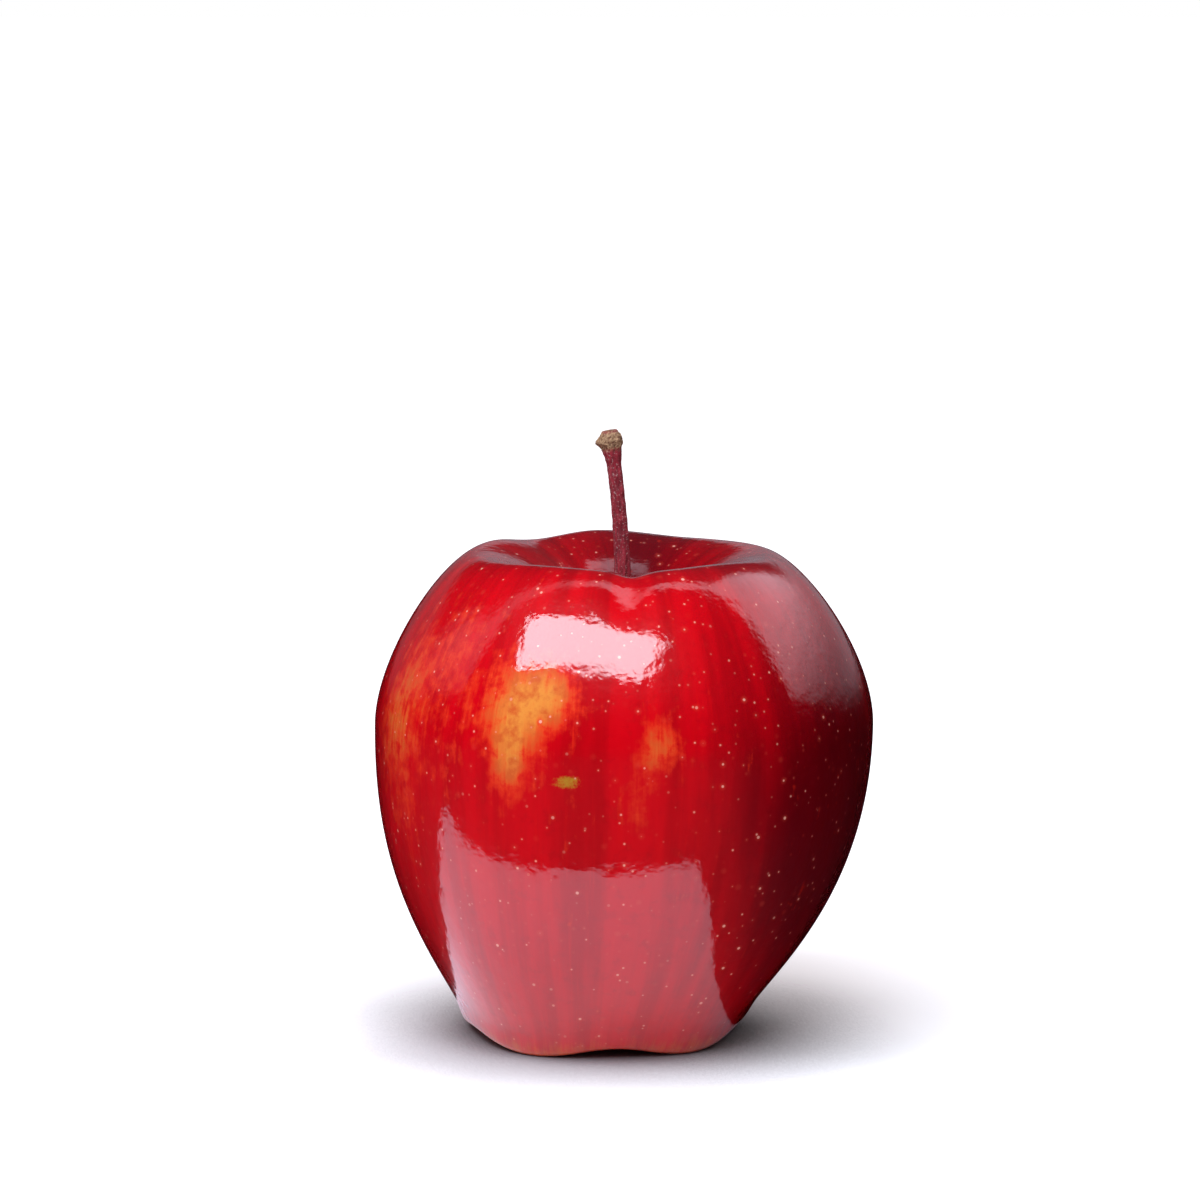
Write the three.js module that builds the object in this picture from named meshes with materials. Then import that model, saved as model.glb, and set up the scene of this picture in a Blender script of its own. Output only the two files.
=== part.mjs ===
// A ripe dessert apple with a five-lobed crown, standing on its lobes with the stalk up.
// Millimetres, +Z up along the stalk, origin under the stalk on the surface that the fruit stands on.
// The front of the fruit, -Y, is a furrow between two lobes.
import * as THREE from 'three';
import { mergeVertices } from 'three/addons/utils/BufferGeometryUtils.js';

// ---- driving dimensions -------------------------------------------------------------------------

// The fruit, measured on a lobe.
const GIRTH_RADIUS = 38.8; // widest ring
const GIRTH_HEIGHT = 48; // height of the widest ring
const RIM_RADIUS = 22; // crest of the shoulder, round the stalk cavity
const RIM_HEIGHT = 74.8;
const CAVITY_DEPTH = 14; // from the rim down to the pit where the stalk comes out
const CROWN_RADIUS = 19.2; // circle that the five feet stand on
const HEEL_OUT = 4.9; // the rounded heel of a foot, out from the crown circle
const HEEL_UP = 4.5;
const HEEL_SLOPE = 0.98; // steepness of the cheek where it leaves the heel, in radians
const FOOT_WEAR = 0.6; // depth pressed flat under each foot
const BASIN_DEPTH = 10; // from the standing surface up to the floor of the calyx basin
const BASIN_FLOOR_RADIUS = 6; // flat floor that carries the dried flower

// The furrows between the lobes.
const GIRTH_FURROW = 0.8; // how far a furrow lies inside the lobes at the girth
const RIM_FURROW = 0.6; // how far it dips below them at the rim
const CROWN_FURROW = 1.1; // how far it rises above the feet
const CROWN_PINCH = 0.9; // how far it lies inside the crown circle

// Lengths of the tangents at the two ends of each span of the outline: a longer one gives a fuller
// curve there.
const FULLNESS = {
  basin: { leave: 3.5, arrive: 7 },
  heel: { leave: 3.6, arrive: 3 },
  cheek: { leave: 8, arrive: 24 },
  shoulder: { leave: 10.5, arrive: 5 },
  cavity: { leave: 9.2, arrive: 2.9 },
};
const PIT_SLOPE = 0.54; // steepness of the cavity wall where it reaches the pit, in radians

// The lobes grew unevenly: direction in radians from +X, and how far each rim stands above the rest.
const LOBES = [
  { turn: -2.09, rise: -0.15 },
  { turn: -0.87, rise: -0.15 },
  { turn: 0.42, rise: -0.45 },
  { turn: 1.75, rise: 0.3 },
  { turn: 2.69, rise: 0.2 },
];
const CROWN_LEAN = -3.2; // sideways shift of the crown: the fruit grew slightly bent

const STALK_LENGTH = 35.4; // from the bottom of its socket to its tip
const STALK_RADIUS = 1.1; // at its thinnest
const STALK_FOOT_RADIUS = 1.45; // where it leaves the fruit
const STALK_KNOB_RADIUS = 2; // the swollen end that broke off the spur
const STALK_BEND = -2.2; // sideways reach of the tip
const STALK_UPRIGHT = 0.4; // share of the length over which it rises before it starts to bend
const STALK_TURN = { height: 0.65, reach: 0.1 }; // shares of length and bend that steer the tip
const SOCKET_DEPTH = 3; // how far the stalk is set into the pit

const SEPAL_LENGTH = 6;
const SEPAL_WIDTH = 2.6;
const SEPAL_THICKNESS = 0.7;
const SEPAL_SPLAY = 0.3; // outward lean of a sepal, in radians
const STAMEN_RADIUS = 1.5;
const STAMEN_LENGTH = 4;

const CLEARANCE = 0.3; // gap between pieces that touch on the real fruit

// ---- how finely the round shapes are divided ----------------------------------------------------

const STEPS_ROUND = 70;
const STEPS_ALONG = { basin: 8, heel: 4, cheek: 10, shoulder: 9, cavity: 9 };
const STEPS_ROUND_STALK = 12;
const STEPS_ALONG_STALK = 18;
const STEPS_ALONG_SEPAL = 5;

const UPRIGHT = Math.PI / 2;
const FULL_TURN = Math.PI * 2;

function look(name, color, roughness) {
  return new THREE.MeshStandardMaterial({ name, color, roughness, metalness: 0 });
}

// One closed, welded mesh with a name.
function piece(name, geometry, material) {
  geometry.deleteAttribute('uv');
  geometry.deleteAttribute('normal');
  const welded = mergeVertices(geometry, 1e-4);
  welded.computeVertexNormals();
  const mesh = new THREE.Mesh(welded, material);
  mesh.name = name;
  return mesh;
}

// Moves each point of a lathe's grid to place(angle, index of the profile point).
function bendLathe(geometry, stepsRound, profileCount, place) {
  for (let step = 0; step <= stepsRound; step++) {
    const angle = ((step % stepsRound) / stepsRound) * FULL_TURN;
    for (let along = 0; along < profileCount; along++) {
      const { x, y, z } = place(angle, along);
      geometry.attributes.position.setXYZ(step * profileCount + along, x, y, z);
    }
  }
  return geometry;
}

// ---- fruit --------------------------------------------------------------------------------------

const pitHeight = RIM_HEIGHT - CAVITY_DEPTH;
const socketRadius = STALK_FOOT_RADIUS + CLEARANCE;
const socketFloor = pitHeight - SOCKET_DEPTH;

// Half outline as points (radius, height), from the calyx basin round the cheek to the stalk's
// socket. Five cubic spans join the basin floor, foot, heel, girth, rim and pit, and meet with one
// direction: level on the floor, foot and rim, sloped at the heel and pit, upright at the girth.
function outline(foot, girth, rim) {
  const point = (radius, height) => new THREE.Vector2(radius, height);
  const floor = point(BASIN_FLOOR_RADIUS, BASIN_DEPTH);
  const heel = foot.clone().add(point(HEEL_OUT, HEEL_UP));
  const pit = point(socketRadius, pitHeight);
  const out = point(1, 0);
  const up = point(0, 1);
  const slope = point(Math.cos(HEEL_SLOPE), Math.sin(HEEL_SLOPE));
  const inward = point(-Math.cos(PIT_SLOPE), -Math.sin(PIT_SLOPE));
  const spans = [
    ['basin', floor, out, out, foot],
    ['heel', foot, out, slope, heel],
    ['cheek', heel, slope, up, girth],
    ['shoulder', girth, up, out.clone().negate(), rim],
    ['cavity', rim, out.clone().negate(), inward, pit],
  ];
  const points = [point(0, BASIN_DEPTH), floor];
  for (const [name, start, startWay, endWay, end] of spans) {
    const { leave, arrive } = FULLNESS[name];
    const span = new THREE.CubicBezierCurve(
      start,
      start.clone().addScaledVector(startWay, leave),
      end.clone().addScaledVector(endWay, -arrive),
      end,
    );
    points.push(...span.getPoints(STEPS_ALONG[name]).slice(1));
  }
  points.push(point(socketRadius, socketFloor), point(0, socketFloor));
  return points;
}

const lobeOutlines = LOBES.map((lobe) =>
  outline(
    new THREE.Vector2(CROWN_RADIUS, -FOOT_WEAR),
    new THREE.Vector2(GIRTH_RADIUS, GIRTH_HEIGHT),
    new THREE.Vector2(RIM_RADIUS, RIM_HEIGHT + lobe.rise),
  ),
);
const furrowOutline = outline(
  new THREE.Vector2(CROWN_RADIUS - CROWN_PINCH, CROWN_FURROW),
  new THREE.Vector2(GIRTH_RADIUS - GIRTH_FURROW, GIRTH_HEIGHT),
  new THREE.Vector2(RIM_RADIUS, RIM_HEIGHT - RIM_FURROW),
);

// The nearest lobe at a direction, and how much of the furrow shows there: nothing on the crest of
// the lobe, all of it half way to the next one, with a sine squared between.
function lobeAt(angle) {
  for (let i = 0; i < LOBES.length; i++) {
    const next = (i + 1) % LOBES.length;
    const gap = THREE.MathUtils.euclideanModulo(LOBES[next].turn - LOBES[i].turn, FULL_TURN);
    const share = THREE.MathUtils.euclideanModulo(angle - LOBES[i].turn, FULL_TURN) / gap;
    if (share < 1) {
      return { nearest: share < 0.5 ? i : next, furrow: Math.sin(Math.PI * share) ** 2 };
    }
  }
  return { nearest: 0, furrow: 0 };
}

// Sideways shift at a height: nothing at the girth and above, all of it at the crown.
function leanAt(height) {
  const below = Math.max(0, (GIRTH_HEIGHT - height) / GIRTH_HEIGHT);
  return CROWN_LEAN * below * below;
}

// A lathe of the outline in which each direction blends its nearest lobe with the furrow; the
// crown leans to one side and the feet are pressed flat on the standing surface.
function fruitGeometry() {
  const count = furrowOutline.length;
  const lathe = new THREE.LatheGeometry(furrowOutline, STEPS_ROUND);
  return bendLathe(lathe, STEPS_ROUND, count, (angle, along) => {
    const { nearest, furrow } = lobeAt(angle);
    const point = lobeOutlines[nearest][along].clone().lerp(furrowOutline[along], furrow);
    return {
      x: point.x * Math.cos(angle) + leanAt(point.y),
      y: point.x * Math.sin(angle),
      z: Math.max(0, point.y),
    };
  });
}

// ---- stalk --------------------------------------------------------------------------------------

const stalkFoot = socketFloor + CLEARANCE;

// Upright out of the socket, then curving over to one side.
const stalkPath = new THREE.CubicBezierCurve3(
  new THREE.Vector3(0, 0, stalkFoot),
  new THREE.Vector3(0, 0, stalkFoot + STALK_LENGTH * STALK_UPRIGHT),
  new THREE.Vector3(
    STALK_BEND * STALK_TURN.reach,
    0,
    stalkFoot + STALK_LENGTH * STALK_TURN.height,
  ),
  new THREE.Vector3(STALK_BEND, 0, stalkFoot + STALK_LENGTH),
);

// Radius against share of the length: a firm foot, a slim middle and a blunt swollen end.
const stalkProfile = new THREE.SplineCurve([
  new THREE.Vector2(STALK_FOOT_RADIUS, 0),
  new THREE.Vector2(STALK_FOOT_RADIUS, 0.15),
  new THREE.Vector2((STALK_FOOT_RADIUS + STALK_RADIUS) / 2, 0.4),
  new THREE.Vector2(STALK_RADIUS, 0.7),
  new THREE.Vector2(STALK_RADIUS, 0.87),
  new THREE.Vector2(STALK_KNOB_RADIUS, 0.94),
  new THREE.Vector2(STALK_KNOB_RADIUS * 0.8, 1),
]);

// A lathe of the profile, with each ring carried to its place on the path.
function stalkGeometry() {
  const sides = stalkProfile.getPoints(STEPS_ALONG_STALK);
  const rings = [new THREE.Vector2(0, 0), ...sides, new THREE.Vector2(0, 1)];
  const lathe = new THREE.LatheGeometry(rings, STEPS_ROUND_STALK);
  return bendLathe(lathe, STEPS_ROUND_STALK, rings.length, (angle, along) => {
    const share = THREE.MathUtils.clamp(rings[along].y, 0, 1);
    const ahead = stalkPath.getTangent(share);
    const across = new THREE.Vector3(ahead.z, 0, -ahead.x);
    const place = stalkPath.getPoint(share);
    place.addScaledVector(across, rings[along].x * Math.cos(angle));
    place.y += rings[along].x * Math.sin(angle);
    return place;
  });
}

// ---- dried flower in the calyx basin ------------------------------------------------------------

const flowerHeight = BASIN_DEPTH - CLEARANCE;

// Radius of the ring inside the sepals: clear of the tuft, and wide enough to keep them apart.
const sepalRing = Math.max(
  STAMEN_RADIUS + CLEARANCE,
  (SEPAL_WIDTH / 2 + CLEARANCE) / Math.tan(Math.PI / LOBES.length),
);

// A thin pointed leaf hanging from the basin floor point down, splayed outwards from the ring,
// here the one on the -Y side.
function sepalGeometry() {
  const half = SEPAL_WIDTH / 2;
  const leaf = new THREE.Shape();
  leaf.moveTo(-half, 0);
  leaf.quadraticCurveTo(-half, SEPAL_LENGTH * 0.6, 0, SEPAL_LENGTH);
  leaf.quadraticCurveTo(half, SEPAL_LENGTH * 0.6, half, 0);
  leaf.closePath();
  const geometry = new THREE.ExtrudeGeometry(leaf, {
    depth: SEPAL_THICKNESS,
    bevelEnabled: false,
    curveSegments: STEPS_ALONG_SEPAL,
  });
  geometry.rotateX(-UPRIGHT - SEPAL_SPLAY);
  geometry.translate(0, -sepalRing - SEPAL_THICKNESS, 0);
  return geometry;
}

// A blunt tuft of dry filaments, hanging from the middle of the basin floor.
function stamenGeometry() {
  const tuft = [
    new THREE.Vector2(0, -STAMEN_LENGTH),
    new THREE.Vector2(STAMEN_RADIUS * 0.7, -STAMEN_LENGTH),
    new THREE.Vector2(STAMEN_RADIUS, -STAMEN_LENGTH / 2),
    new THREE.Vector2(STAMEN_RADIUS * 0.8, 0),
    new THREE.Vector2(0, 0),
  ];
  const geometry = new THREE.LatheGeometry(tuft, STEPS_ROUND_STALK);
  geometry.rotateX(UPRIGHT);
  return geometry;
}

// ---- the apple ----------------------------------------------------------------------------------

const skin = look('apple skin', '#b3101c', 0.2);
const bark = look('stalk bark', '#6b2a22', 0.7);
const driedLeaf = look('dried sepal', '#6f5a3c', 0.85);

const apple = new THREE.Group();
apple.add(piece('fruit', fruitGeometry(), skin));
apple.add(piece('stalk', stalkGeometry(), bark));

// The flower hangs in the basin, so it shares the lean of the basin floor.
const flower = new THREE.Group();
flower.position.set(leanAt(BASIN_DEPTH), 0, flowerHeight);
flower.add(piece('stamens', stamenGeometry(), driedLeaf));
LOBES.forEach((_, i) => {
  const sepal = piece(`sepal_${i + 1}`, sepalGeometry(), driedLeaf);
  sepal.rotation.z = (i / LOBES.length) * FULL_TURN;
  flower.add(sepal);
});
apple.add(flower);

export default apple;
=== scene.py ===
import bpy
import numpy as np
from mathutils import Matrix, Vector


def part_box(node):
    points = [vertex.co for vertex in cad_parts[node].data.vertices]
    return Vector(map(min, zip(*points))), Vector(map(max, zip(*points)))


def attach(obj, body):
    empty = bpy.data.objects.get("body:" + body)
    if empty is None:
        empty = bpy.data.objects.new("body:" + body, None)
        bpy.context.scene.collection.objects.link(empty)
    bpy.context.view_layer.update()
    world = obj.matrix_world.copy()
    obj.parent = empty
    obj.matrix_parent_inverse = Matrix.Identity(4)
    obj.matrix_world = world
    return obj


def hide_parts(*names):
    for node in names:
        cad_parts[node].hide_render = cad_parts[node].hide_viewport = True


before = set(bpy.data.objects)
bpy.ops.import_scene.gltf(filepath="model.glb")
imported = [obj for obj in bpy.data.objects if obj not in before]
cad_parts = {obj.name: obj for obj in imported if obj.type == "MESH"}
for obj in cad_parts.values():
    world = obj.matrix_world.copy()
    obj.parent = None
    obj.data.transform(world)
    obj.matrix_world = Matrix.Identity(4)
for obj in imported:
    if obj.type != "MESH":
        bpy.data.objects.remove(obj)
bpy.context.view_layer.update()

# ---- Fruit --------------------------------------------------------------------------------------
# One fleshy body under a thin waxed skin: five lobes round the crown, a funnel for the stalk on
# top and a basin with the dried flower underneath. It grew as one piece, so it is one closed skin.

fruit_low, fruit_high = (np.array(corner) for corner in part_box("fruit"))
mm = (fruit_high[2] - fruit_low[2]) / 75.1  # the outlines below are of a fruit 75.1 mm tall

girth_radius = 38.8 * mm
girth_height = 48 * mm
girth_furrow = 0.8 * mm
rim_radius = 22 * mm
rim_height = 74.8 * mm
rim_furrow = 0.6 * mm
pit_radius = 1.5 * mm
pit_height = rim_height - 14 * mm
crown_radius = 19.2 * mm
crown_furrow = 1.1 * mm
crown_pinch = 0.9 * mm
crown_lean = -3.2 * mm
foot_press = 0.3 * mm  # the lobes are pressed this far into flat feet
heel = np.array([4.9, 4.5]) * mm
heel_slope = np.array([np.cos(0.98), np.sin(0.98)]) * mm
basin_radius = 6 * mm
basin_depth = 10 * mm
basin_dimple = 0.6 * mm
lobe_turns = np.array([-2.09, -0.87, 0.42, 1.75, 2.69])
lobe_rises = np.array([-0.15, -0.15, -0.45, 0.3, 0.2]) * mm
turn_count = 336
turns = np.linspace(0, 2 * np.pi, turn_count, endpoint=False)


def span(start, leave, arrive, end, steps):
    """Cubic curve from start to end: leave and arrive are the tangents at its two ends."""
    t = np.linspace(0, 1, steps, endpoint=False)[:, None]
    start, end = np.array(start), np.array(end)
    first, second = start + leave, end + arrive
    return (
        (1 - t) ** 3 * start
        + 3 * (1 - t) ** 2 * t * first
        + 3 * (1 - t) * t**2 * second
        + t**3 * end
    )


def outline(foot, girth, rim):
    """Half outline (radius, height) from the basin floor round the cheek to the pit, as six cubic
    spans that meet with one tangent, then straight down inside the stalk."""
    level, upright = np.array([mm, 0]), np.array([0, mm])
    start = (0.2 * mm, basin_depth - basin_dimple)
    floor = (basin_radius, basin_depth)
    pit = (pit_radius, pit_height)
    end = (0.8 * pit_radius, pit_height - 2.4 * mm)
    return np.vstack([
        span(start, level, -2 * level, floor, 22),
        span(floor, 3.5 * level, -7 * level, foot, 44),
        span(foot, 3.6 * level, -3 * heel_slope, foot + heel, 24),
        span(foot + heel, 8 * heel_slope, -24 * upright, girth, 62),
        span(girth, 10.5 * upright, 5 * level, rim, 56),
        span(rim, -9.2 * level, 2.5 * level + 1.5 * upright, pit, 56),
        span(pit, -0.4 * level - 0.6 * upright, 1.2 * upright, end, 8),
    ])


def lobe_shares():
    """For each direction, its nearest lobe and how much furrow shows: a sine squared that is nought
    on a lobe's crest and one half way to the next."""
    nearest = np.zeros(turn_count, int)
    furrow = np.zeros(turn_count)
    for i, start in enumerate(lobe_turns):
        after = (i + 1) % len(lobe_turns)
        share = ((turns - start) % (2 * np.pi)) / ((lobe_turns[after] - start) % (2 * np.pi))
        here = share < 1
        nearest[here] = np.where(share[here] < 0.5, i, after)
        furrow[here] = np.sin(np.pi * share[here]) ** 2
    return nearest, furrow


nearest_lobe, furrow_share = lobe_shares()
lobes = np.stack([
    outline(
        (crown_radius, -foot_press), (girth_radius, girth_height), (rim_radius, rim_height + rise)
    )
    for rise in lobe_rises
])
furrow = outline(
    (crown_radius - crown_pinch, crown_furrow),
    (girth_radius - girth_furrow, girth_height),
    (rim_radius, rim_height - rim_furrow),
)
share = furrow_share[None, :, None]
half = lobes[nearest_lobe].transpose(1, 0, 2) * (1 - share) + furrow[:, None, :] * share
radius, height = half[..., 0], half[..., 1]

# Distance along the skin from the basin floor, which the streaks of colour follow.
run = np.cumsum(np.linalg.norm(np.diff(half, axis=0, prepend=half[:1]), axis=2), axis=0)
run_share = run / run[-1]


def bump_at(turn, level, wide, tall):
    """A soft round swelling at a direction and a height in millimetres: one in its middle, falling
    as a bell curve over the given width and tallness."""
    across = np.angle(np.exp(1j * (turns - turn)))[None, :] * girth_radius / (wide * mm)
    up = (height - level * mm) / (tall * mm)
    return np.exp(-(across**2) - up**2)


def wrinkles(count, phase, sway):
    """Radial folds round the axis, of uneven depth."""
    around = turns + sway * np.sin(2 * turns + phase)
    folds = np.cos(count * around + phase) * (0.6 + 0.4 * np.cos(3 * turns + 2 * phase))
    return folds[None, :]


cheek = radius > 20 * mm
outside = height > 1.5 * mm
above_feet = np.clip((height - 4 * mm) / (12 * mm), 0, 1)
below_rim = np.clip((rim_height - height) / (8 * mm), 0, 1)
near_stalk = np.exp(-(((radius - 2.2 * mm) / (2.4 * mm)) ** 2)) * (run_share > 0.9)
near_flower = np.exp(-(((radius - 6.5 * mm) / (3.0 * mm)) ** 2)) * (run_share < 0.14)

# The cheeks swell unevenly by a few tenths of a millimetre, a small dent sits in the front furrow
# below the rim, and the skin puckers round the stalk and round the dried flower.
swell = 0.22 * np.sin(3 * turns + 0.6) * np.sin(height / (9 * mm) + 1.0)
swell = swell + 0.16 * np.sin(7 * turns - 0.8) * np.cos(height / (14 * mm))
radius = radius + mm * above_feet * below_rim * cheek * swell
radius = radius - 0.9 * mm * bump_at(-1.55, 71.5, 3.4, 2.4) * (radius > 20 * mm)
height = height - 0.9 * mm * bump_at(-1.52, 74.4, 4.5, 2.5) * (run_share > 0.6)
radius = radius + 0.12 * mm * wrinkles(11, 0.4, 0.12) * near_stalk
height = height + 0.28 * mm * wrinkles(15, 1.3, 0.1) * near_flower
height = height + 0.10 * mm * wrinkles(23, 2.1, 0.2) * near_stalk

below = np.clip((girth_height - height) / girth_height, 0, None)
skin_points = np.stack([
    radius * np.cos(turns) + crown_lean * below**2,
    radius * np.sin(turns),
    np.maximum(height, 0),
], axis=2)


def new_object(name, data):
    """Puts a mesh, a light or a camera into the scene, at the origin."""
    piece = bpy.data.objects.new(name, data)
    bpy.context.scene.collection.objects.link(piece)
    return piece


def rings_mesh(name, rings, start, end):
    """A closed skin over rings of points that run counter-clockwise seen from the end: quads
    between neighbouring rings and a fan of triangles on each end point."""
    count, around = rings.shape[:2]
    points = np.vstack([np.array(start)[None], rings.reshape(-1, 3), np.array(end)[None]])
    here = 1 + np.arange(count - 1)[:, None] * around + np.arange(around)[None, :]
    beside = 1 + np.arange(count - 1)[:, None] * around + (np.arange(around)[None, :] + 1) % around
    quads = np.stack([here, beside, beside + around, here + around], axis=2).reshape(-1, 4)
    ring = np.arange(around)
    following = (ring + 1) % around
    last = 1 + (count - 1) * around
    foot = np.stack([np.zeros(around, int), 1 + following, 1 + ring], axis=1)
    head = np.stack([last + ring, last + following, np.full(around, len(points) - 1)], axis=1)
    mesh = bpy.data.meshes.new(name)
    mesh.from_pydata(points.tolist(), [], quads.tolist() + foot.tolist() + head.tolist())
    mesh.shade_smooth()
    return new_object(name, mesh)


def mark(piece, name, values, start=0.0, end=0.0):
    """Keeps one number for each point of a rings mesh under a name that its material reads."""
    flat = np.concatenate([[start], np.asarray(values, float).ravel(), [end]])
    layer = piece.data.attributes.new(name, "FLOAT", "POINT")
    layer.data.foreach_set("value", flat)


flower_x = crown_lean * (1 - basin_depth / girth_height) ** 2
fruit = rings_mesh(
    "apple_fruit",
    skin_points,
    (flower_x, 0, basin_depth - basin_dimple),
    (0, 0, pit_height - 2.6 * mm),
)

# Where the red is thin and the yellow ground shows: strength, direction, height, width and
# tallness. First the patch on the front left shoulder and its tail, the smaller one beside it that
# drips downwards, the left cheek, and two faint ones at the back.
bare = sum(
    strength * bump_at(*place)
    for strength, *place in [
        (1.00, -1.99, 56.5, 6.0, 6.5),
        (0.50, -1.84, 58.0, 4.0, 4.5),
        (0.72, -2.02, 47.5, 3.6, 6.0),
        (0.66, -1.43, 50.0, 3.6, 4.6),
        (0.42, -1.52, 42.0, 2.6, 6.0),
        (0.66, -2.68, 52.0, 8.5, 13.0),
        (0.28, -2.40, 64.0, 8.0, 6.0),
        (0.22, -2.28, 54.0, 6.0, 12.0),
        (0.15, -2.60, 36.0, 6.0, 9.0),
        (0.55, 2.30, 56.0, 10.0, 10.0),
        (0.50, 0.90, 40.0, 7.0, 14.0),
    ]
)
# Painted shade, partly a deeper red of the skin: deep maroon on the right front cheek, which other
# fruit shaded, on a patch high on the back, and inside the cavity.
deep_red_and_painted_shade = bump_at(-0.55, 36.0, 24.0, 32.0) + 0.6 * bump_at(1.4, 60.0, 16.0, 20.0)
deep_red_and_painted_shade = deep_red_and_painted_shade + 0.45 * np.clip((run_share - 0.74) / 0.06, 0, 1)
crown = np.clip(1 - (height - 0.5 * mm) / (7 * mm), 0, 1) * (run_share < 0.4)
crown = np.maximum(crown, np.clip((0.16 - run_share) / 0.06, 0, 1))
russet = np.clip(1 - (radius - 2 * mm) / (8.5 * mm), 0, 1) * (run_share > 0.9)
scar = 0.9 * bump_at(-1.79, 45.2, 2.7, 0.8) + 0.5 * bump_at(-1.93, 45.0, 3.5, 0.4)

mark(fruit, "bare", np.where(outside, bare, 0))
mark(fruit, "deep_red_and_painted_shade", deep_red_and_painted_shade)
mark(fruit, "crown", crown, start=1.0)
mark(fruit, "russet", russet, end=1.0)
mark(fruit, "scar", scar)

# The streaks run from stalk to flower, so their pattern is stretched along the skin: this is the
# direction round the fruit with the distance along the skin, in millimetres.
grain = np.stack([
    np.broadcast_to(girth_radius * np.cos(turns), run.shape),
    np.broadcast_to(girth_radius * np.sin(turns), run.shape),
    run,
], axis=2).reshape(-1, 3) / 0.001
grain = np.vstack([[0, 0, 0], grain, [0, 0, grain[-1, 2]]])
layer = fruit.data.attributes.new("grain", "FLOAT_VECTOR", "POINT")
layer.data.foreach_set("vector", grain.ravel())


def colour(hex_code):
    """sRGB hex to linear red, green, blue and a full alpha."""
    parts = [int(hex_code[i : i + 2], 16) / 255 for i in (1, 3, 5)]
    return [p / 12.92 if p <= 0.04045 else ((p + 0.055) / 1.055) ** 2.4 for p in parts] + [1.0]


def add(tree, kind, sockets=(), **settings):
    """One node with its settings. Each socket is given a number, a colour, an output, or a node,
    which stands for the first of its outputs that is in use."""
    node = tree.nodes.new("ShaderNode" + kind)
    for name, value in settings.items():
        setattr(node, name, value)
    for name, value in dict(sockets).items():
        if isinstance(value, bpy.types.Node):
            value = next(output for output in value.outputs if output.enabled)
        if isinstance(value, bpy.types.NodeSocket):
            tree.links.new(value, node.inputs[name])
        else:
            node.inputs[name].default_value = value
    return node


def start_material(name):
    """A new material and its empty node tree."""
    material = bpy.data.materials.new(name)
    material.use_nodes = True
    material.node_tree.nodes.clear()
    return material, material.node_tree


# Apple skin: a wall of cells full of red pigment over a yellow ground, waxed and polished. The wax
# gives a sharp, clear gloss over a soft, slightly translucent red.
skin, tree = start_material("waxed apple skin")
smooth = {"interpolation_type": "SMOOTHSTEP"}
mixed = {"data_type": "RGBA"}
scaled = {"operation": "MULTIPLY"}
weighed = {"operation": "MULTIPLY_ADD"}

place = add(tree, "TexCoord").outputs["Object"]
place_mm = add(tree, "VectorMath", {0: place, 1: (1000, 1000, 1000)}, **scaled)
grain_mm = add(tree, "Attribute", attribute_name="grain").outputs["Vector"]
fine_grain = add(tree, "VectorMath", {0: grain_mm, 1: (1, 1, 0.07)}, **scaled)
broad_grain = add(tree, "VectorMath", {0: grain_mm, 1: (1, 1, 0.10)}, **scaled)

# Streaks about 1 mm and 5 mm wide, clouds of 2 mm and specks of 0.4 mm.
fine_streak, broad_streak, mottle, speckle = (
    add(tree, "TexNoise", {"Vector": where, "Scale": scale, "Detail": detail, "Roughness": rough})
    for where, scale, detail, rough in [
        (fine_grain, 1.1, 6, 0.62),
        (broad_grain, 0.22, 4, 0.55),
        (place_mm, 0.42, 6, 0.6),
        (place_mm, 2.6, 4, 0.65),
    ]
)

# How strongly each marking shows at a point: its own share, broken up by the patterns above.
shows = {}
for name, start, own, fine, broad, clouds, specks in [
    # painted shade, partly a deeper red: the shaded cheeks and the cavity, broken by broad streaks
    ("deep_red_and_painted_shade", -0.15, 1.1, 0.0, 0.3, 0.0, 0.0),
    ("bare", -1.13, 1.0, 0.62, 0.4, 1.25, 0.0),
    ("crown", -1.15, 1.0, 0.8, 0.0, 0.6, 0.0),
    ("scar", -0.3, 1.0, 0.0, 0.0, 0.0, 0.5),
    ("russet", -1.05, 1.15, 1.2, 0.0, 0.4, 0.0),
]:
    kept = add(tree, "Attribute", attribute_name=name).outputs["Fac"]
    total = start
    for pattern, weight in [
        (kept, own), (fine_streak, fine), (broad_streak, broad), (mottle, clouds), (speckle, specks)
    ]:
        if weight:
            total = add(tree, "Math", {0: pattern, 1: weight, 2: total}, **weighed)
    shows[name] = total

# The colours, each laid over the last by a smooth step: what shows it, from where to where, how
# much at most, and its colour. Reds first, then thin red over the yellow ground.
cloud = add(tree, "MapRange", {"Value": mottle, 1: 0.38, 2: 0.66}, **smooth)
yellow_ground = add(tree, "Mix", {0: cloud, 6: colour("#D88436"), 7: colour("#C65424")}, **mixed)
body = colour("#C6000E")
for pattern, low, high, most, tone in [
    (broad_streak, 0.36, 0.68, 1.0, colour("#AE000B")),
    (fine_streak, 0.50, 0.76, 0.35, colour("#D00408")),
    (mottle, 0.5, 0.75, 0.30, colour("#86000C")),
    # painted shade, partly a deeper red: deep maroon on the shaded cheeks and in the cavity
    (shows["deep_red_and_painted_shade"], 0.05, 0.95, 0.9, colour("#52000A")),
    (shows["bare"], 0.18, 0.60, 1.0, colour("#D42814")),
    (shows["bare"], 0.44, 1.02, 1.0, yellow_ground),
]:
    laid = add(tree, "MapRange", {"Value": pattern, 1: low, 2: high, 4: most}, **smooth)
    body = add(tree, "Mix", {0: laid, 6: body, 7: tone}, **mixed)

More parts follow.
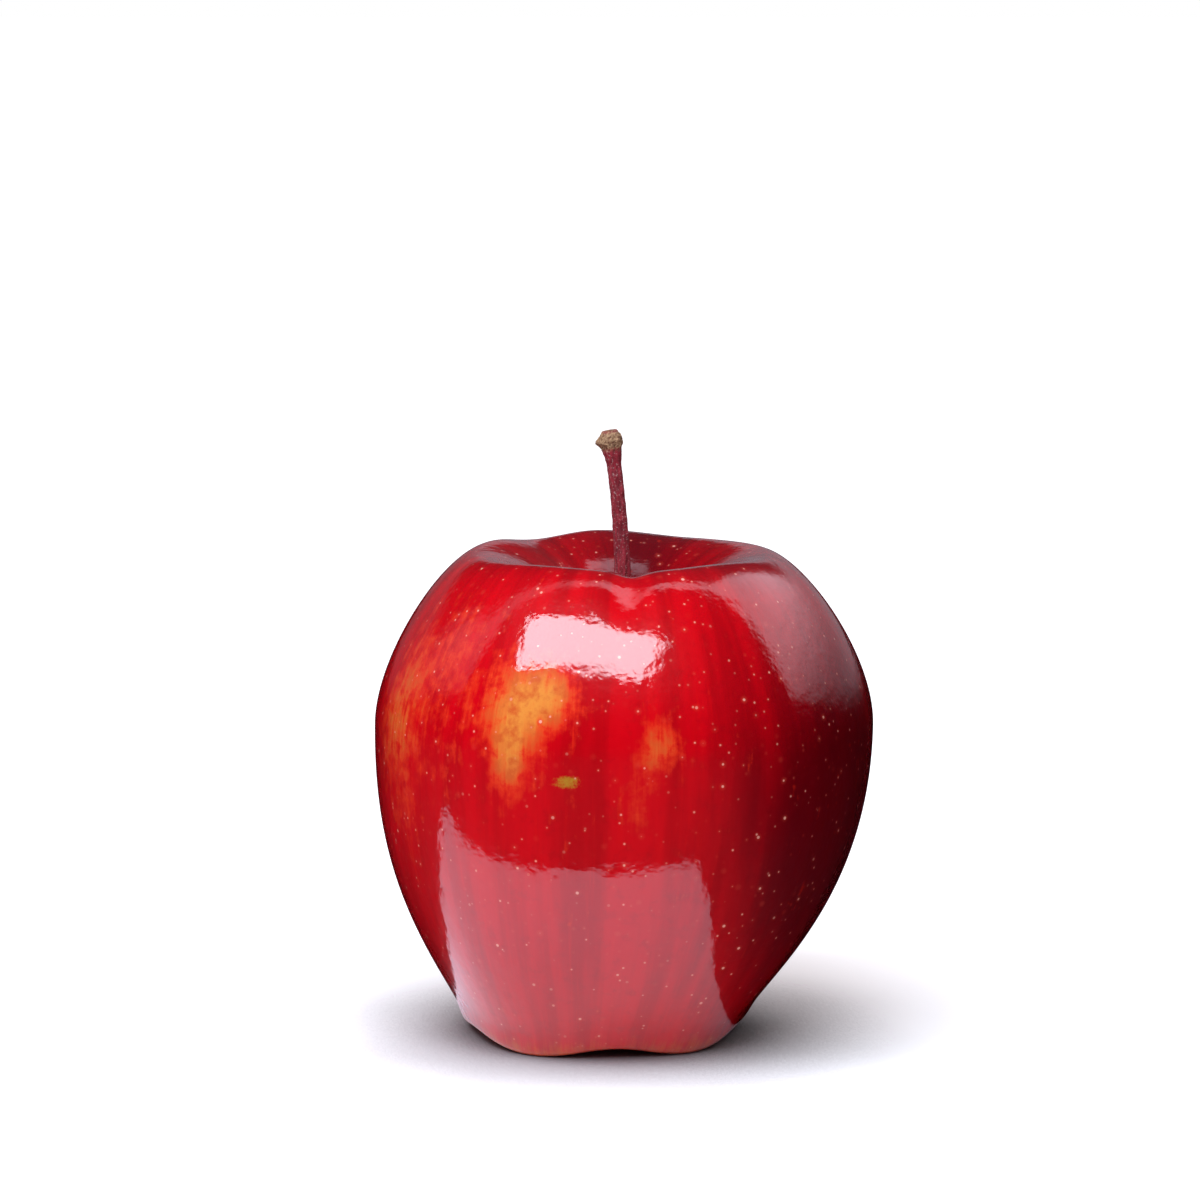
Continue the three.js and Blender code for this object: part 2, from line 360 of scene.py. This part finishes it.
# Lenticels: breathing pores 0.3 to 0.6 mm across, pale in the middle, with a faint paler ring.
pores = 0.0
for spacing_mm, low, high, weight in [(3.0, 0.055, 0.10, 0.75), (1.8, 0.06, 0.12, 0.55)]:
    cells = add(tree, "TexVoronoi", {"Vector": place_mm, "Scale": 1 / spacing_mm})
    away, tint = cells.outputs["Distance"], cells.outputs["Color"]
    chance = add(tree, "SeparateColor", {0: tint})
    kept = add(tree, "MapRange", {"Value": chance, 1: 0.2, 2: 0.8, 3: 0.2, 4: 1.0}, **smooth)
    spot = add(tree, "MapRange", {"Value": away, 1: low, 2: high, 3: weight, 4: 0.0}, **smooth)
    spot = add(tree, "Math", {0: spot, 1: kept}, **scaled)
    pores = add(tree, "Math", {0: pores, 1: spot}, operation="MAXIMUM")
    halo = add(tree, "MapRange", {"Value": away, 1: 0.08, 2: 0.26, 3: 0.16, 4: 0.0}, **smooth)
    halo = add(tree, "Math", {0: halo, 1: kept}, **scaled)
    body = add(tree, "Mix", {0: halo, 6: body, 7: colour("#E0503C")}, **mixed)
body = add(tree, "Mix", {0: pores, 6: body, 7: colour("#F0A894")}, **mixed)

# Yellow skin round the flower, an olive rub mark, and dry brown russet at the stalk.
rust_colour = add(tree, "Mix", {0: mottle, 6: colour("#B7A35C"), 7: colour("#96683A")}, **mixed)
for name, low, high, most, tone in [
    ("crown", 0.12, 1.0, 0.75, colour("#D4702C")),
    ("scar", 0.25, 0.6, 1.0, colour("#A87820")),
    ("russet", 0.1, 0.75, 0.9, rust_colour),
]:
    laid = add(tree, "MapRange", {"Value": shows[name], 1: low, 2: high, 4: most}, **smooth)
    body = add(tree, "Mix", {0: laid, 6: body, 7: tone}, **mixed)

# Wax is smooth; the russet, the last colour laid, is dull.
dullness = add(tree, "MapRange", {"Value": laid, 1: 0.0, 2: 1.0, 3: 0.34, 4: 0.7}, **smooth)

# The wax has a faint orange-peel and the pores stand up a few hundredths of a millimetre.
waves = add(tree, "TexNoise", {"Vector": place_mm, "Scale": 0.45, "Detail": 2, "Roughness": 0.55})
for pattern in (speckle, pores):
    waves = add(tree, "Math", {0: pattern, 1: 0.10, 2: waves}, **weighed)
relief = add(tree, "Bump", {"Height": waves, "Distance": 0.00012, "Strength": 0.6})
shader = add(tree, "BsdfPrincipled", {
    "Base Color": body,
    "Roughness": dullness,
    "Normal": relief,
    "IOR": 1.42,
    "Specular IOR Level": 0.08,
    "Subsurface Weight": 0.12,
    "Subsurface Radius": (0.9, 0.25, 0.12),
    "Subsurface Scale": 0.0022,
    "Coat Weight": 1.0,
    "Coat Roughness": 0.035,
    "Coat IOR": 1.54,
    "Coat Normal": relief,
})
add(tree, "OutputMaterial", {"Surface": shader})
fruit.data.materials.append(skin)
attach(fruit, "root")
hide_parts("fruit")

# ---- Stalk --------------------------------------------------------------------------------------
# A thin woody stalk that comes up out of the pit and bends to one side. It ends in the swollen,
# corky scar where the fruit let go of the branch.

stalk_low, stalk_high = (np.array(corner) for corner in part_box("stalk"))
stalk_length = stalk_high[2] - stalk_low[2]
stalk_reach = -2.2 * mm
stalk_steps, stalk_sides = 260, 72
along = np.linspace(0, 1, stalk_steps)
around = np.linspace(0, 2 * np.pi, stalk_sides, endpoint=False)
path = span(
    (0, stalk_low[2]),
    (0, 0.4 * stalk_length),
    (-0.9 * stalk_reach, -0.35 * stalk_length),
    (stalk_reach, stalk_low[2] + 0.985 * stalk_length),
    stalk_steps,
)
ahead = np.gradient(path, axis=0)
ahead = ahead / np.linalg.norm(ahead, axis=1)[:, None]

# Radius along the stalk: firm at the foot, slim above, swollen at the end and rounded off.
stalk_radius = np.interp(
    along,
    [0, 0.15, 0.4, 0.7, 0.86, 0.91, 0.95, 0.985, 1.0],
    np.array([1.5, 1.42, 1.22, 1.08, 1.12, 1.45, 1.85, 1.65, 0.9]) * mm,
)
smoothing = np.hanning(15) / np.hanning(15).sum()
stalk_radius = np.convolve(np.pad(stalk_radius, 7, mode="edge"), smoothing, mode="valid")

# What is added to the radius, as shares of it: ridges that wind along the bark, faint rings, the
# lip on one side of the scar, and small pits that are deeper on the knob at the end.
ridges = 0.045 * np.cos(5 * around + 4 * along[:, None])
ridges = ridges + 0.03 * np.cos(9 * around - 7 * along[:, None] + 1.0)
ring_marks = 0.035 * np.sin(70 * along + 3 * np.sin(9 * along))[:, None] * np.cos(around + 1)
knob = np.exp(-(((along - 0.96) / 0.045) ** 2))[:, None]
lip = 0.30 * np.exp(-(((along - 0.955) / 0.016) ** 2))[:, None]
lip = lip * np.clip(-np.cos(around), 0, 1) ** 2
dice = np.random.default_rng(7)
pits = dice.normal(size=(stalk_steps, stalk_sides))
for axis in (0, 1):
    pits = (np.roll(pits, 1, axis) + 2 * pits + np.roll(pits, -1, axis)) / 4
pits = pits * (0.03 + 0.10 * knob)

stalk_shape = stalk_radius[:, None] * (1 + ridges + ring_marks + lip + pits)
stalk_points = np.stack([
    path[:, :1] + stalk_shape * np.cos(around) * ahead[:, 1:],
    stalk_shape * np.sin(around),
    path[:, 1:] - stalk_shape * np.cos(around) * ahead[:, :1],
], axis=2)
stalk = rings_mesh(
    "apple_stalk",
    stalk_points,
    (0, 0, stalk_low[2]),
    (path[-1, 0], 0, path[-1, 1] - 0.15 * mm),
)
mark(stalk, "corky", np.broadcast_to(knob, stalk_shape.shape), end=1.0)

# Young bark: dark red-brown, dull, with pale specks of cork; the broken end is tan and rough. Its
# fibres are about 0.5 mm wide and the specks 0.3 mm.
bark, tree = start_material("apple stalk bark")
place = add(tree, "TexCoord").outputs["Object"]
place_mm = add(tree, "VectorMath", {0: place, 1: (1000, 1000, 1000)}, **scaled)
fibre_way = add(tree, "VectorMath", {0: place_mm, 1: (1, 1, 0.22)}, **scaled)
fibre = add(tree, "TexNoise", {"Vector": fibre_way, "Scale": 2.2, "Detail": 6, "Roughness": 0.65})
cork = add(tree, "TexNoise", {"Vector": place_mm, "Scale": 3.2, "Detail": 5, "Roughness": 0.7})
corky = add(tree, "Attribute", attribute_name="corky").outputs["Fac"]
broken = add(tree, "Math", {0: corky, 1: 1.2, 2: -0.5}, **weighed)
broken = add(tree, "Math", {0: cork, 1: 0.8, 2: broken}, **weighed)
crumbs = add(tree, "MapRange", {"Value": cork, 1: 0.35, 2: 0.65}, **smooth)
cork_colour = add(tree, "Mix", {0: crumbs, 6: colour("#6A3E28"), 7: colour("#B48C68")}, **mixed)
wood = colour("#700C1C")
for pattern, low, high, most, tone in [
    (fibre, 0.35, 0.68, 1.0, colour("#A62434")),
    (cork, 0.56, 0.66, 0.8, colour("#C8A09C")),
    (broken, 0.25, 0.8, 1.0, cork_colour),
]:
    laid = add(tree, "MapRange", {"Value": pattern, 1: low, 2: high, 4: most}, **smooth)
    wood = add(tree, "Mix", {0: laid, 6: wood, 7: tone}, **mixed)
grooves = add(tree, "Math", {0: fibre, 1: 0.6}, **scaled)
grooves = add(tree, "Math", {0: cork, 1: 0.8, 2: grooves}, **weighed)
relief = add(tree, "Bump", {"Height": grooves, "Distance": 0.00025})
shader = add(tree, "BsdfPrincipled", {
    "Base Color": wood,
    "Roughness": 0.62,
    "Normal": relief,
    "IOR": 1.45,
})
add(tree, "OutputMaterial", {"Surface": shader})
stalk.data.materials.append(bark)
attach(stalk, "root")
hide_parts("stalk")

# ---- Dried flower -------------------------------------------------------------------------------
# What is left of the blossom in the basin: five papery sepals, curled back at their points, round
# a tuft of withered filaments. They grow out of the basin's floor.

flower_top = basin_depth - 0.2 * mm
sepal_length = 6.2 * mm
sepal_half_width = 1.45 * mm
sepal_thickness = 0.22 * mm
sepal_ring = 2.35 * mm
sepal_rows, sepal_columns = 26, 20
stamen_spread = 0.95 * mm
stamen_count, stamen_rows, stamen_sides = 26, 14, 7


def sepal_points(turn, curl, twist):
    """A leaf on a closed grid: its half width narrows as a power of the length, its middle line
    leans out and then curls back, its edges are raised, and the round is squashed to its
    thickness. The leaf is then turned about the flower's axis."""
    t = np.linspace(0, 1, sepal_rows)[:, None]
    s = np.linspace(0, 2 * np.pi, sepal_columns, endpoint=False)[None, :]
    side = (sepal_half_width * (1 - t**1.7) + 0.12 * mm) * np.cos(s)
    face = sepal_thickness * (1 - 0.6 * t) * np.sin(s)
    out = sepal_ring + 1.1 * mm * t + curl * 2.2 * mm * t**3
    drop = sepal_length * (t - 0.16 * curl * t**4)
    cup = 0.32 * mm * np.cos(s) ** 2 * (1 - t)
    wave = 0.16 * mm * np.sin(7 * t + turn * 3) * np.cos(s)
    x = side * np.cos(twist * t) - face * np.sin(twist * t)
    y = -(out + face * np.cos(twist * t) - cup + wave)
    return np.stack([
        flower_x + x * np.cos(turn) - y * np.sin(turn),
        x * np.sin(turn) + y * np.cos(turn),
        np.broadcast_to(flower_top - drop, x.shape),
    ], axis=2)


# Dry leaf: brown, matt and finely downy, with veins about 0.4 mm apart that run along it.
dry_leaf, tree = start_material("dried sepal")
place = add(tree, "TexCoord").outputs["Object"]
place_mm = add(tree, "VectorMath", {0: place, 1: (1000, 1000, 1000)}, **scaled)
vein_way = add(tree, "VectorMath", {0: place_mm, 1: (1, 1, 0.3)}, **scaled)
veins = add(tree, "TexNoise", {"Vector": vein_way, "Scale": 2.4, "Detail": 6, "Roughness": 0.7})
pale = add(tree, "MapRange", {"Value": veins, 1: 0.32, 2: 0.7}, **smooth)
leaf_colour = add(tree, "Mix", {0: pale, 6: colour("#4A3A26"), 7: colour("#9A8660")}, **mixed)
relief = add(tree, "Bump", {"Height": veins, "Distance": 0.0003})
shader = add(tree, "BsdfPrincipled", {
    "Base Color": leaf_colour,
    "Roughness": 0.85,
    "Normal": relief,
    "Sheen Weight": 0.3,
    "Sheen Roughness": 0.5,
})
add(tree, "OutputMaterial", {"Surface": shader})

for i, (curl, twist) in enumerate([(0.5, 0.3), (0.9, -0.4), (0.3, 0.5), (0.7, -0.2), (1.0, 0.25)]):
    leaf = sepal_points(i * 2 * np.pi / 5 + 0.04 * np.sin(3 * i), curl, twist)
    tip, root = leaf[-1].mean(axis=0), leaf[0].mean(axis=0)
    sepal = rings_mesh(f"apple_sepal_{i + 1}", leaf[::-1], tip, root)
    sepal.data.materials.append(dry_leaf)
    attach(sepal, "root")
    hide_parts(f"sepal_{i + 1}")


def stamen_points(turn, start, lean, length):
    """A tapering thread that leans out as a power of its length and winds a little, with a bell
    curve of thickness near its end for the dry anther."""
    t = np.linspace(0, 1, stamen_rows)[:, None]
    s = np.linspace(0, 2 * np.pi, stamen_sides, endpoint=False)[None, :]
    out = start + lean * length * t**1.6
    thick = mm * (0.10 - 0.03 * t + 0.16 * np.exp(-(((t - 0.93) / 0.06) ** 2)))
    thick = thick * np.where((t == 0) | (t == 1), 0.3, 1)
    x = flower_x + out * np.cos(turn + 0.5 * t) + thick * np.cos(s)
    y = out * np.sin(turn + 0.5 * t) - thick * np.sin(s)
    return np.stack([x, y, np.broadcast_to(flower_top - length * t, x.shape)], axis=2)


# The filaments are threads in one mesh, each a tube that is closed at both ends.
threads, faces = [], []
for _ in range(stamen_count):
    turn = dice.uniform(0, 2 * np.pi)
    start = stamen_spread * np.sqrt(dice.uniform(0, 1))
    lean = dice.uniform(-0.35, 0.55)
    length = dice.uniform(2.6, 4.3) * mm
    first = len(threads) * stamen_rows * stamen_sides
    ring = np.arange(stamen_sides)
    here = first + np.arange(stamen_rows - 1)[:, None] * stamen_sides + ring
    beside = here - ring + (ring + 1) % stamen_sides
    quads = np.stack([here, beside, beside + stamen_sides, here + stamen_sides], axis=2)
    faces += quads.reshape(-1, 4).tolist()
    faces.append((first + ring[::-1]).tolist())
    faces.append((first + (stamen_rows - 1) * stamen_sides + ring).tolist())
    threads.append(stamen_points(turn, start, lean, length).reshape(-1, 3))
mesh = bpy.data.meshes.new("apple_stamens")
mesh.from_pydata(np.vstack(threads).tolist(), [], faces)
mesh.shade_smooth()
stamens = new_object("apple_stamens", mesh)

# Withered threads: nearly black brown and dull, blotched every 0.7 mm.
dry_thread, tree = start_material("withered stamen")
place = add(tree, "TexCoord").outputs["Object"]
place_mm = add(tree, "VectorMath", {0: place, 1: (1000, 1000, 1000)}, **scaled)
blotch = add(tree, "TexNoise", {"Vector": place_mm, "Scale": 1.5, "Detail": 3, "Roughness": 0.55})
brown = add(tree, "Mix", {0: blotch, 6: colour("#2C1C10"), 7: colour("#6A4A2A")}, **mixed)
shader = add(tree, "BsdfPrincipled", {"Base Color": brown, "Roughness": 0.8})
add(tree, "OutputMaterial", {"Surface": shader})
stamens.data.materials.append(dry_thread)
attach(stamens, "root")
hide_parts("stamens")

# ---- Floor, light and camera --------------------------------------------------------------------
# A white table under a long soft box that hangs above and in front of the fruit. The room in front
# is dark, so the polished skin shows the soft box, the white table and the pale wall behind.

table_size = 12
bpy.ops.mesh.primitive_plane_add(size=table_size)
floor = bpy.context.object
floor.name = "studio_floor"

# White card: matt. Painted light: it glows faintly where it lies open, as an overlit table does,
# and not in the corners under the fruit, so the contact shadow stays; the gloss sees a pinkish
# glow.
# The camera sees the card greyer, and darkened under the fruit as a painted contact shadow.
paper, tree = start_material("white card")
ray = add(tree, "LightPath")
place = add(tree, "TexCoord").outputs["Object"]
away = add(tree, "VectorMath", {0: place}, operation="LENGTH")
open_sky = add(tree, "AmbientOcclusion", {"Distance": 0.035}, samples=4).outputs["AO"]
far_out = add(tree, "MapRange", {"Value": away, 1: 0.02, 2: 0.16, 3: 0.60, 4: 1.0}, **smooth)
lit = add(tree, "MapRange", {"Value": open_sky, 1: 0.30, 2: 0.85}, **smooth)
mirrored = add(tree, "MapRange", {"Value": open_sky, 1: 0.30, 2: 0.85, 4: 0.75}, **smooth)
glow = add(tree, "Math", {0: far_out, 1: lit}, **scaled)
glow = add(tree, "Math", {0: glow, 1: ray.outputs["Is Camera Ray"]}, **scaled)
glow = add(tree, "Math", {0: mirrored, 1: ray.outputs["Is Glossy Ray"], 2: glow}, **weighed)
glow_colour = add(tree, "Mix", {
    0: ray.outputs["Is Glossy Ray"], 6: colour("#FFFBFF"), 7: colour("#F0D4FF"),
}, **mixed)
# Painted contact shadow: to the camera the card turns dark grey where little sky is open, under the
# fruit.
unshaded = add(tree, "MapRange", {"Value": open_sky, 1: 0.3, 2: 1.0}, **smooth)
card_with_painted_shadow = add(tree, "Mix", {0: unshaded, 6: colour("#6A6066"), 7: colour("#D8D6D8")}, **mixed)
card = add(tree, "Mix", {
    0: ray.outputs["Is Camera Ray"], 6: colour("#F4F2F4"), 7: card_with_painted_shadow,
}, **mixed)
shader = add(tree, "BsdfPrincipled", {
    "Base Color": card,
    "Roughness": 0.9,
    "Specular IOR Level": 0.1,
    "Emission Color": glow_colour,
    "Emission Strength": glow,
})
add(tree, "OutputMaterial", {"Surface": shader})
floor.data.materials.append(paper)

# Cards that only the gloss sees, like the black flags of a studio: in reflections the table shows
# dark in front, dark at each side, where it is painted shade, and dark behind. They are dull black
# cloth with a little red.
flag_black, tree = start_material("black flag")
shader = add(tree, "BsdfPrincipled", {
    "Base Color": colour("#1A0407"),
    "Roughness": 1.0,
    "Specular IOR Level": 0.0,
})
add(tree, "OutputMaterial", {"Surface": shader})


def flag(name, corners):
    """A flat card that shows only in reflections, from its corners in millimetres."""
    mesh = bpy.data.meshes.new(name)
    mesh.from_pydata((np.array(corners) * mm).tolist(), [], [tuple(range(len(corners)))])
    card = new_object(name, mesh)
    card.data.materials.append(flag_black)
    card.visible_camera = False
    card.visible_diffuse = False
    card.visible_shadow = False
    card.visible_transmission = False
    return card


flag_lift = 0.4
edge = table_size / 2 / mm
for name, corners in [
    ("table_front_edge", [
        (edge, -edge), (edge, -78), (33, -78), (-20, -78), (-62, -64), (-105, -37), (-160, -14),
        (-edge, -14), (-edge, -edge),
    ]),
    ("table_right_side", [
        (33, -78), (edge, -78), (edge, edge), (20, edge), (18, 9), (19, -8), (21.5, -28), (27, -42),
    ]),
    ("table_left_side", [
        (-edge, -14), (-160, -14), (-96, -6), (-50, 2), (-28, 14), (-20, 60), (-20, edge),
        (-edge, edge),
    ]),
    ("table_back_edge", [(-20, 60), (20, 60), (20, edge), (-20, edge)]),
]:
    flag(name, [(x, y, flag_lift) for x, y in corners])

# A standing card at the right takes a little light from that cheek and shows in no reflection.
shade = flag("right_shade", [(78, -70, 0), (100, 60, 0), (100, 60, 95), (78, -70, 95)])
shade.visible_diffuse, shade.visible_glossy = True, False

key_rise, key_turn = np.radians(56.5), np.radians(-25)
key_distance = 0.5
key = bpy.data.lights.new("soft_box", "AREA")
key.shape = "RECTANGLE"
key.size, key.size_y = 0.55, 0.185
key.energy = 3.7
key.color = (0.86, 0.99, 1.10)
key_box = new_object("soft_box", key)
fruit_middle = np.array([0, 0, 0.62 * fruit_high[2]])
key_way = np.array([
    np.cos(key_rise) * np.sin(key_turn),
    -np.cos(key_rise) * np.cos(key_turn),
    np.sin(key_rise),
])


def aim(thing, eye, target):
    """Puts a light or camera at eye, looking at target with its top upwards."""
    thing.location = eye
    way = Vector((target - eye).tolist())
    thing.rotation_euler = way.to_track_quat("-Z", "Y").to_euler()


aim(key_box, fruit_middle + key_distance * key_way, fruit_middle)

# World: white behind the fruit, dark in front, and a soft even fill for everything that is matt.
world = bpy.data.worlds.new("studio")
bpy.context.scene.world = world
world.use_nodes = True
tree = world.node_tree
tree.nodes.clear()
place = add(tree, "TexCoord").outputs["Generated"]
way = add(tree, "SeparateXYZ", {0: place})
across, deep, up = (way.outputs[axis] for axis in "XYZ")
slanting = add(tree, "Math", {0: deep, 1: 0.42, 2: up}, **weighed)

# A dark screen hangs in front of the wall: the product of a smooth step for each of its edges.
screen = 1.0
for value, low, high, first, last in [
    (up, 0.20, 0.36, 0.0, 1.0),
    (deep, 0.14, 0.28, 0.0, 1.0),
    (across, 0.36, 0.52, 1.0, 0.0),
    (across, -0.85, -0.65, 0.0, 1.0),
]:
    part = add(tree, "MapRange", {"Value": value, 1: low, 2: high, 3: first, 4: last}, **smooth)
    screen = add(tree, "Math", {0: screen, 1: part}, **scaled)

# The pale wall: what is behind and above the table, not hidden by the screen, dimmer to the left.
wall = 1.0
for value, low, high, first, last in [
    (deep, 0.02, 0.12, 0.0, 1.0),
    (slanting, 0.31, 0.44, 0.0, 1.0),
    (screen, 0.0, 1.0, 1.0, 0.02),
    (across, -0.35, 0.1, 0.3, 1.0),
]:
    part = add(tree, "MapRange", {"Value": value, 1: low, 2: high, 3: first, 4: last}, **smooth)
    wall = add(tree, "Math", {0: wall, 1: part}, **scaled)

wall_colour = add(tree, "Mix", {0: wall, 6: colour("#14060A"), 7: colour("#F4F0FF")}, **mixed)
wall_power = add(tree, "MapRange", {"Value": up, 1: 0.15, 2: 0.62, 3: 0.3, 4: 2.2}, **smooth)
fill_power = add(tree, "MapRange", {"Value": up, 1: -0.1, 2: 0.8, 3: 0.12, 4: 0.40}, **smooth)
wall_light = add(tree, "Background", {"Color": wall_colour, "Strength": wall_power})
fill_light = add(tree, "Background", {"Color": colour("#FFFCFF"), "Strength": fill_power})
backdrop = add(tree, "Background", {"Color": colour("#FFFFFF"), "Strength": 1.0})
ray = add(tree, "LightPath")
room = add(tree, "MixShader", {0: ray.outputs["Is Glossy Ray"], 1: fill_light, 2: wall_light})
seen = add(tree, "MixShader", {0: ray.outputs["Is Camera Ray"], 1: room, 2: backdrop})
add(tree, "OutputWorld", {"Surface": seen})

# A long lens, a little above the fruit, looking slightly down.
camera = bpy.data.cameras.new("camera")
camera.lens = 156
camera.sensor_width = 36
camera_box = new_object("camera", camera)
camera_side, camera_back, camera_rise, target_rise = np.array([-3.6, -788, 176, 67]) * mm
aim(
    camera_box,
    np.array([camera_side, camera_back, camera_rise]),
    np.array([camera_side, 0, target_rise]),
)
bpy.context.scene.camera = camera_box
bpy.context.scene.view_settings.view_transform = "Standard"
